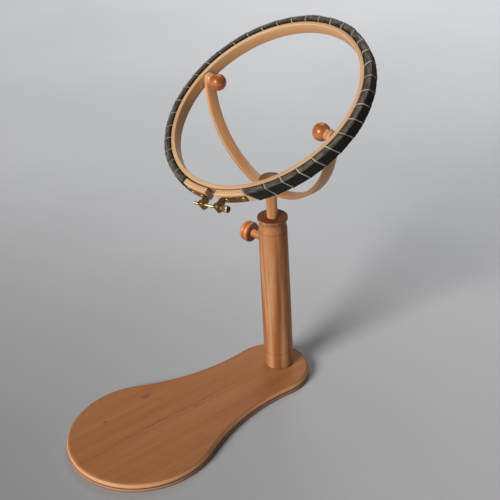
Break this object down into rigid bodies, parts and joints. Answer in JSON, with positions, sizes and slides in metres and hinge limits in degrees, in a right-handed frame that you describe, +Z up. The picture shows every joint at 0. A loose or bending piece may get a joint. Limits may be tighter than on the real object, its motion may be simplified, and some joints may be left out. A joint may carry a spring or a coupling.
{
  "type": "embroidery hoop on stand",
  "caption": "Wooden embroidery hoop with a tape-wound outer ring, tilting in a bent-wood yoke on a dowel that slides in a turned column on a pear-shaped base.",
  "frame": {"origin": "on the column's axis at the underside of the base", "axes": "+Z up, +X to the user's right along the hoop's tilt axis, the base's paddle reaching towards -Y"},
  "size_m": [0.257, 0.4117, 0.4399],
  "materials": {
    "plywood": "oiled, satin",
    "turned_wood": "oiled, satin",
    "knob_wood": "varnished, gloss",
    "bentwood": "oiled, satin",
    "beech": "smooth, satin",
    "woven_tape": "matt twill with pale selvedge",
    "felt": "matt",
    "brass": "bright, slightly tarnished",
    "steel": "zinc plated"
  },
  "bodies": {
    "stand": {"base_plate": "plywood", "column": "turned_wood", "base_screw_1": "steel", "base_screw_2": "steel"},
    "clamp_spindle": {"clamp_spindle": "knob_wood"},
    "clamp_knob": {"clamp_knob": "knob_wood"},
    "mast": {"mast_dowel": "bentwood", "mast_stud": "steel"},
    "cap_insert": {"cap_insert": "brass"},
    "cap_knob": {"cap_knob": "knob_wood"},
    "yoke": {"yoke_bow": "bentwood", "yoke_washer": "steel"},
    "inner_hoop": {"inner_ring": "beech", "pivot_bolt_left": "steel", "pivot_bolt_right": "steel", "friction_washer_left": "felt", "friction_washer_right": "felt"},
    "tilt_insert_left": {"tilt_insert_left": "brass"},
    "tilt_knob_left": {"tilt_knob_left": "knob_wood"},
    "tilt_insert_right": {"tilt_insert_right": "brass"},
    "tilt_knob_right": {"tilt_knob_right": "knob_wood"},
    "outer_hoop": {"outer_ring": "beech", "ring_binding": "woven_tape", "clasp_bracket_left": "brass", "clasp_bracket_right": "brass", "clasp_barrel_left": "brass", "clasp_barrel_right": "brass", "clasp_pin_1": "brass", "clasp_pin_2": "brass", "clasp_pin_3": "brass", "clasp_pin_4": "brass"},
    "clasp_screw": {"clasp_screw": "brass"}
  },
  "joints": [
    {"name": "mast_slide", "type": "slide", "parent": "stand", "child": "mast", "axis": [0, 0, 1], "range_m": [-0.025, 0.12]},
    {"name": "yoke_swivel", "type": "hinge", "parent": "mast", "child": "yoke", "pos_m": [0, 0, 0.2598], "axis": [0, 0, 1], "continuous": true},
    {"name": "hoop_tilt", "type": "hinge", "parent": "yoke", "child": "inner_hoop", "pos_m": [0, 0, 0.367], "axis": [1, 0, 0], "range_deg": [-106, 44]},
    {"name": "outer_ring_lift", "type": "slide", "parent": "inner_hoop", "child": "outer_hoop", "axis": [0, -0.515, 0.8572], "range_m": [0, 0.05]},
    {"name": "clasp_screw_spin", "type": "hinge", "parent": "outer_hoop", "child": "clasp_screw", "pos_m": [0.03726, -0.11363, 0.29873], "axis": [0.9627, 0.2319, 0.1394], "continuous": true},
    {"name": "clamp_feed", "type": "slide", "parent": "stand", "child": "clamp_spindle", "axis": [-0.9848, -0.1736, 0], "range_m": [0, 0.00605]},
    {"name": "clamp_spin", "type": "hinge", "parent": "clamp_spindle", "child": "clamp_knob", "pos_m": [-0.0327, -0.00577, 0.1909], "axis": [-0.9848, -0.1736, 0], "range_deg": [0, 720]},
    {"name": "cap_feed", "type": "slide", "parent": "mast", "child": "cap_insert", "axis": [0, 0, 1], "range_m": [0, 0.00305]},
    {"name": "cap_spin", "type": "hinge", "parent": "cap_insert", "child": "cap_knob", "pos_m": [0, 0, 0.27], "axis": [0, 0, 1], "range_deg": [0, 1080]},
    {"name": "tilt_feed_left", "type": "slide", "parent": "inner_hoop", "child": "tilt_insert_left", "axis": [1, 0, 0], "range_m": [0, 0.00245]},
    {"name": "tilt_spin_left", "type": "hinge", "parent": "tilt_insert_left", "child": "tilt_knob_left", "pos_m": [-0.093, 0, 0.367], "axis": [1, 0, 0], "range_deg": [0, 1080]},
    {"name": "tilt_feed_right", "type": "slide", "parent": "inner_hoop", "child": "tilt_insert_right", "axis": [-1, 0, 0], "range_m": [0, 0.00245]},
    {"name": "tilt_spin_right", "type": "hinge", "parent": "tilt_insert_right", "child": "tilt_knob_right", "pos_m": [0.093, 0, 0.367], "axis": [-1, 0, 0], "range_deg": [0, 1080]}
  ],
  "couplings": [
    {"joint": "clamp_feed", "follows": "clamp_spin", "m_per_rad": 0.00047746},
    {"joint": "cap_feed", "follows": "cap_spin", "m_per_rad": 0.00015915},
    {"joint": "tilt_feed_left", "follows": "tilt_spin_left", "m_per_rad": 0.00012732},
    {"joint": "tilt_feed_right", "follows": "tilt_spin_right", "m_per_rad": 0.00012732}
  ]
}
